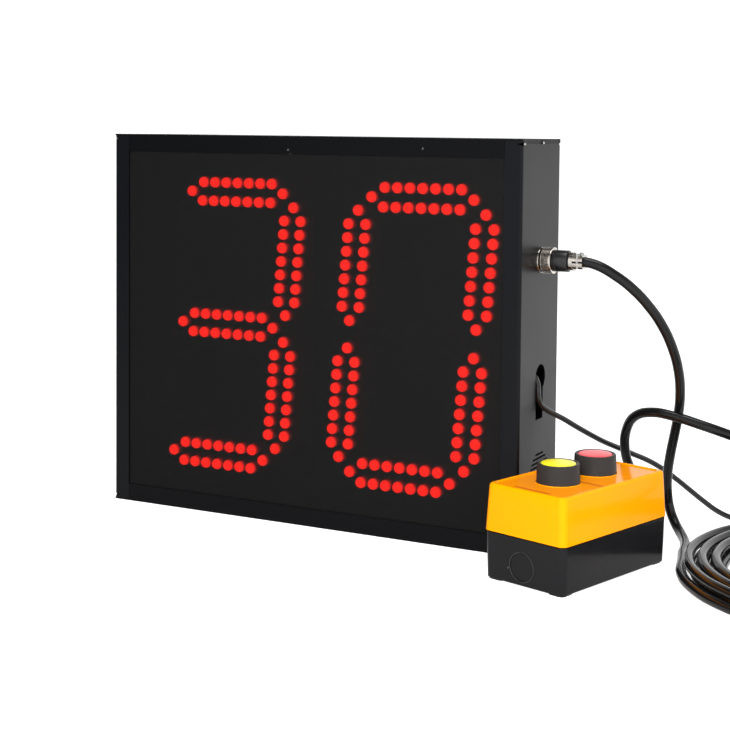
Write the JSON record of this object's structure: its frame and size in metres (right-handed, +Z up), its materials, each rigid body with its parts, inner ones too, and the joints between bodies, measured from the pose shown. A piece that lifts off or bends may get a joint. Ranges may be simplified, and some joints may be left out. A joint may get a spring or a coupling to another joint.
{
  "type": "shot clock",
  "caption": "Shot clock: black steel display with large red lamp digits behind a smoked window, and a yellow and black push-button control station on a coiled cable.",
  "frame": {"origin": "middle of the display's underside, on the table", "axes": "+X to the display's right, +Y to its back, +Z up; the digits face -Y"},
  "size_m": [0.683, 0.3228, 0.282],
  "materials": {
    "painted_steel": "black semi-matt powder coat",
    "smoked_acrylic": "dark smoked acrylic, polished",
    "circuit_board": "green lacquered board",
    "led_lit": "red lamp, lit",
    "led_dark": "red lamp, unlit",
    "brass": "plain turned",
    "zinc_steel": "zinc plated",
    "spring_steel": "drawn wire",
    "chrome": "bright plated",
    "component_black": "moulded epoxy",
    "wire_grey": "soft vinyl",
    "black_plastic": "moulded, glossy",
    "cable_black": "soft vinyl, slightly glossy",
    "base_black": "moulded, satin",
    "cover_yellow": "moulded, polished amber yellow",
    "gasket_rubber": "soft black",
    "cap_yellow": "moulded, satin",
    "cap_red": "moulded, satin",
    "bezel_grey": "moulded, matt",
    "contact_blue": "moulded"
  },
  "bodies": {
    "display_and_station": {"left_side_panel": "painted_steel", "right_side_panel": "painted_steel", "top_cap": "painted_steel", "bottom_cap": "painted_steel", "back_cover": "painted_steel", "back_cover_screws": "zinc_steel", "smoked_window": "smoked_acrylic", "tens_led_board": "circuit_board", "units_led_board": "circuit_board", "tens_segment_a": "led_lit", "tens_segment_b": "led_lit", "tens_segment_c": "led_lit", "tens_segment_d": "led_lit", "tens_segment_e": "led_dark", "tens_segment_f": "led_dark", "tens_segment_g": "led_lit", "units_segment_a": "led_lit", "units_segment_b": "led_lit", "units_segment_c": "led_lit", "units_segment_d": "led_lit", "units_segment_e": "led_lit", "units_segment_f": "led_lit", "units_segment_g": "led_dark", "board_posts": "brass", "board_screws": "zinc_steel", "controller_board": "circuit_board", "controller_parts": "component_black", "display_wiring": "wire_grey", "buzzer": "component_black", "panel_socket": "chrome", "socket_nut": "chrome", "plug_body": "black_plastic", "cable_clamp": "chrome", "clamp_screws": "zinc_steel", "lead_clip": "black_plastic", "power_lead": "cable_black", "power_lead_coil": "cable_black", "power_plug": "black_plastic", "station_base": "base_black", "station_gasket": "gasket_rubber", "station_cover": "cover_yellow", "station_screws": "zinc_steel", "cable_gland": "black_plastic", "gland_nut": "black_plastic", "station_wiring": "wire_grey", "yellow_bezel": "bezel_grey", "yellow_lock_nut": "black_plastic", "yellow_spring": "spring_steel", "yellow_contact_block": "contact_blue", "red_bezel": "bezel_grey", "red_lock_nut": "black_plastic", "red_spring": "spring_steel", "red_contact_block": "contact_blue", "control_cable_drop": "cable_black", "control_cable_coil": "cable_black", "control_cable_return": "cable_black"},
    "yellow_button": {"yellow_cap": "cap_yellow"},
    "red_button": {"red_cap": "cap_red"},
    "ring": {"coupling_ring": "chrome"}
  },
  "joints": [
    {"name": "yellow_button_press", "type": "slide", "parent": "display_and_station", "child": "yellow_button", "axis": [0, 0, -1], "range_m": [0, 0.004], "stiffness_N_per_m": 600, "springref_m": -0.002, "deforming": ["yellow_spring"]},
    {"name": "red_button_press", "type": "slide", "parent": "display_and_station", "child": "red_button", "axis": [0, 0, -1], "range_m": [0, 0.004], "stiffness_N_per_m": 600, "springref_m": -0.002, "deforming": ["red_spring"]},
    {"name": "coupling_ring_turn", "type": "hinge", "parent": "display_and_station", "child": "ring", "pos_m": [0.173, 0, 0.1987], "axis": [1, 0, 0], "range_deg": [0, 1080]}
  ]
}
